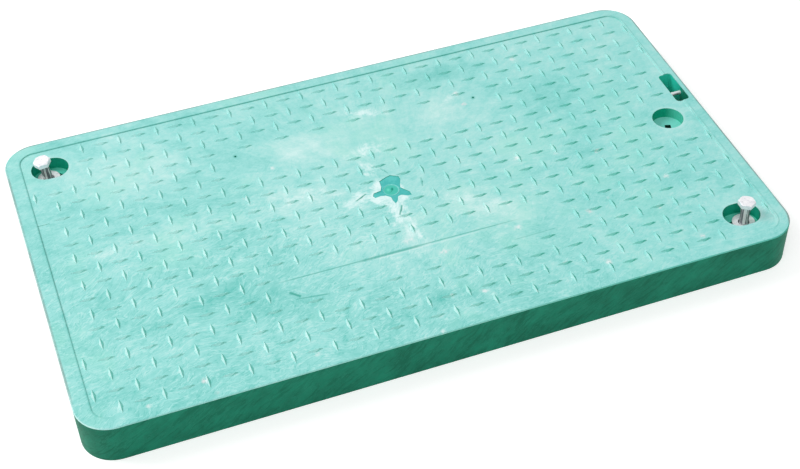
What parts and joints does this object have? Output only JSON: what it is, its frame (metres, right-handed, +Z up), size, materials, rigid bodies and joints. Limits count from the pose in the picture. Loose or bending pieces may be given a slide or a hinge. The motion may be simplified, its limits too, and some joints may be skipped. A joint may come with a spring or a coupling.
{
  "type": "cable pit cover",
  "caption": "Rectangular moulded cover for an underground cable pit, with a raised slip-resistant tread, recessed bolts, a round pocket and a lifting slot.",
  "frame": {"origin": "centre of the cover's underside, where it rests on the pit's rim", "axes": "+X along the cover's length towards the end with the lifting slot, +Y towards its back long edge, +Z up out of the tread"},
  "size_m": [0.775, 0.4404, 0.0633],
  "materials": {
    "moulded_plastic": "teal green structural foam moulding with faint swirl streaks, matte",
    "plated_steel": "bright zinc plated, satin"
  },
  "bodies": {
    "root": {"cover": "moulded_plastic", "lift_pin": "plated_steel", "bolt_back_left": "plated_steel", "bolt_front_right": "plated_steel", "washer_back_left": "plated_steel", "washer_front_right": "plated_steel"}
  },
  "joints": []
}
